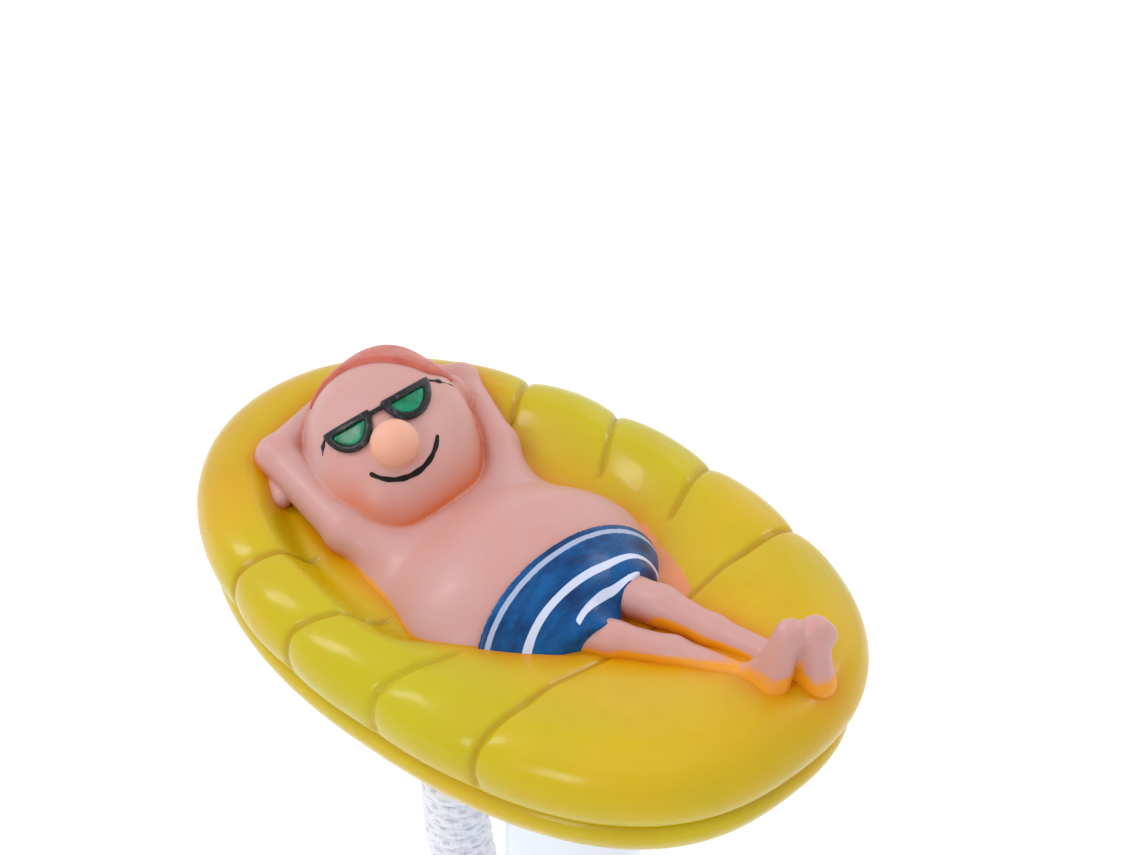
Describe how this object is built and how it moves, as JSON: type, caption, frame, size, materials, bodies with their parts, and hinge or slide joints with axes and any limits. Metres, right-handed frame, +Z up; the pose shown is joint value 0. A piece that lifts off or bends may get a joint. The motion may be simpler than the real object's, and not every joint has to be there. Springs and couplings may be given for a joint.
{
  "type": "floating pool thermometer",
  "caption": "Raft-shaped float with a reclining cartoon sunbather, over a turning immersion tube with a windowed spirit thermometer and a wound tether cord.",
  "frame": {"origin": "on the immersion tube's axis at the waterline, 9 mm above the raft's underside", "axes": "+Z up along the tube, +X from the tube towards the sunbather's head, -Y the side that the scale window faces"},
  "size_m": [0.126, 0.0808, 0.2007],
  "materials": {
    "yellow_vinyl": "glossy paint over soft vinyl",
    "pink_vinyl": "satin translucent vinyl",
    "hair_paint": "satin paint",
    "trunks_paint": "glossy paint with white bands",
    "frame_paint": "glossy paint",
    "lens_paint": "glossy paint",
    "white_cord": "braided",
    "blue_plastic": "moulded",
    "white_plastic": "satin moulded",
    "clear_window": "polished clear",
    "seal_rubber": "smooth",
    "scale_print": "printed",
    "inner_plastic": "moulded",
    "stem_glass": "drawn glass",
    "spirit": "dyed liquid",
    "clip_steel": "bright",
    "ballast_iron": "as cast"
  },
  "bodies": {
    "float": {"float_raft": "yellow_vinyl", "sunbather_body": "pink_vinyl", "sunbather_hair": "hair_paint", "swim_trunks": "trunks_paint", "sunglasses_frame": "frame_paint", "sunglasses_lenses": "lens_paint", "tether_lug": "yellow_vinyl", "tether_knot": "white_cord", "tether_cord": "white_cord", "tether_hank": "white_cord"},
    "thermometer": {"neck_collar": "blue_plastic", "neck_seal": "seal_rubber", "immersion_tube": "white_plastic", "window_lens": "clear_window", "end_cap": "blue_plastic", "cap_seal": "seal_rubber", "scale_plate": "scale_print", "plate_holder_upper": "inner_plastic", "plate_holder_lower": "inner_plastic", "glass_thermometer": "stem_glass", "stem_clip_upper": "clip_steel", "stem_clip_lower": "clip_steel", "bulb_spirit": "spirit", "spirit_column": "spirit", "ballast_weight": "ballast_iron"},
    "spirit_top": {"spirit_meniscus": "spirit"}
  },
  "joints": [
    {"name": "tube_swivel", "type": "hinge", "parent": "float", "child": "thermometer", "pos_m": [0, 0, 0], "axis": [0, 0, 1], "continuous": true},
    {"name": "spirit_level", "type": "slide", "parent": "thermometer", "child": "spirit_top", "axis": [0, 0, 1], "range_m": [-0.0287, 0.0397], "deforming": ["spirit_column"]}
  ]
}
